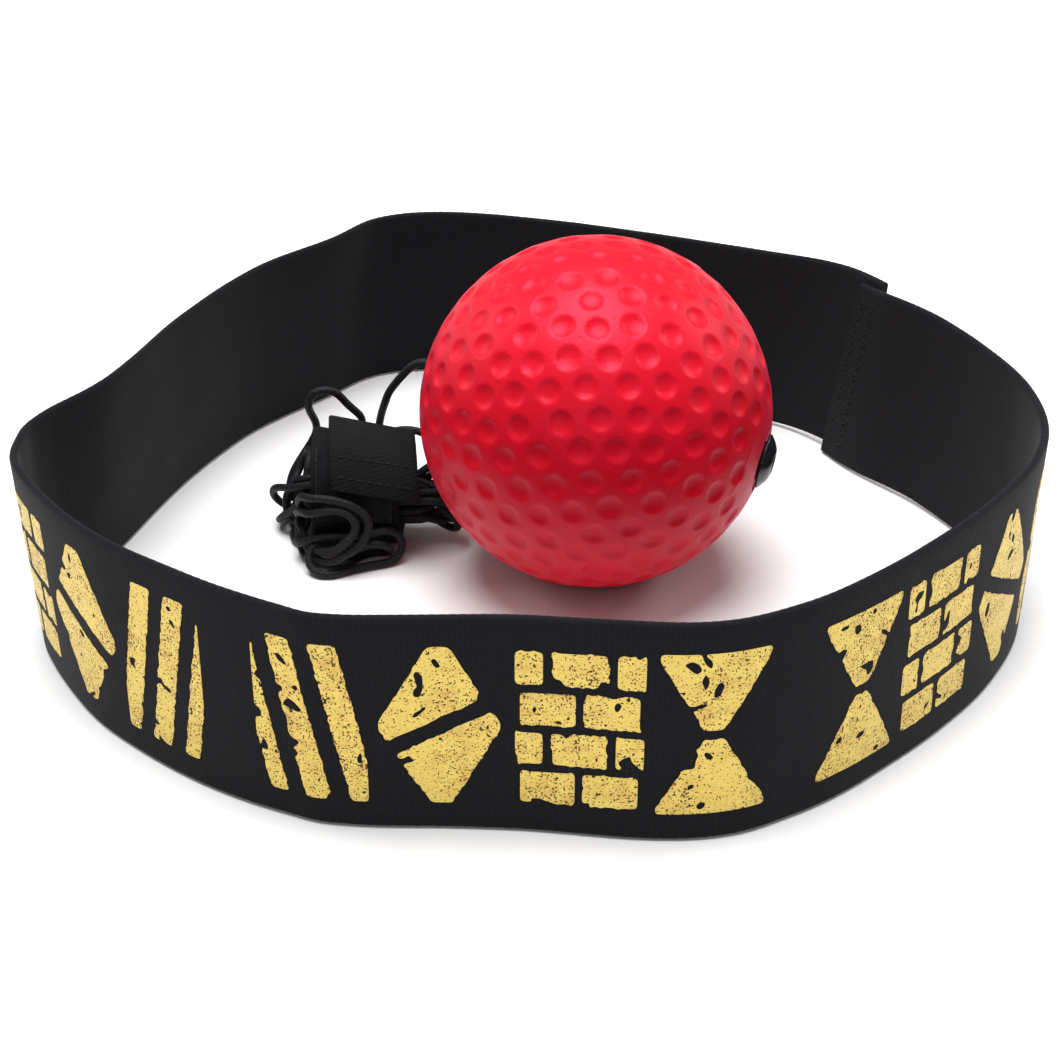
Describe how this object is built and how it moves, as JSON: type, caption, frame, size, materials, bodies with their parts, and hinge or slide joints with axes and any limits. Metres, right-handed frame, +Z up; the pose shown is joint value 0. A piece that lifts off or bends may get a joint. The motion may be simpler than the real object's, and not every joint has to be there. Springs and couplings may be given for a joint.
{
  "type": "reflex ball headband",
  "caption": "Elastic headband loop with a dimpled foam ball on an elastic cord, its spare length wound in a hook-and-loop tab, for reflex and boxing training.",
  "frame": {"origin": "on the surface that the headband stands on, below the middle of its bounding box", "axes": "+Z up, along the band's width; +X to the right and -Y towards the front, seen from the printed front"},
  "size_m": [0.1749, 0.1659, 0.063],
  "materials": {
    "woven_elastic": "matte",
    "sewing_thread": "matte",
    "red_foam": "satin",
    "black_plastic": "gloss",
    "elastic_cord": "satin",
    "ribbed_webbing": "matte",
    "hook_and_loop": "matte",
    "gold_foil": "satin"
  },
  "bodies": {
    "headband": {"headband_elastic": "woven_elastic", "seam_thread_inner_1": "sewing_thread", "seam_thread_inner_2": "sewing_thread", "seam_thread_outer_1": "sewing_thread", "seam_thread_outer_2": "sewing_thread"},
    "cord_set": {"stopper_cap": "black_plastic", "stopper_knot": "elastic_cord", "cord_core": "elastic_cord", "cord_lead": "elastic_cord", "cord_hank": "elastic_cord", "cord_bar_tack": "sewing_thread", "tab_strap": "ribbed_webbing", "tab_loop_patch": "hook_and_loop"},
    "ball": {"ball_foam": "red_foam"},
    "flap": {"tab_flap": "ribbed_webbing", "tab_hook_patch": "hook_and_loop", "flap_thread_1": "sewing_thread", "flap_thread_2": "sewing_thread"}
  },
  "joints": [
    {"name": "set_lift", "type": "slide", "parent": "headband", "child": "cord_set", "axis": [0, 0, 1], "range_m": [0, 0.12]},
    {"name": "ball_spin", "type": "hinge", "parent": "cord_set", "child": "ball", "pos_m": [0.0106, -0.0019, 0.0315], "axis": [0.9417, -0.2951, -0.1616], "continuous": true},
    {"name": "flap_peel", "type": "hinge", "parent": "cord_set", "child": "flap", "pos_m": [-0.02942, 0.00151, 0.02111], "axis": [-0.982, -0.0518, 0.1816], "range_deg": [0, 60]}
  ]
}
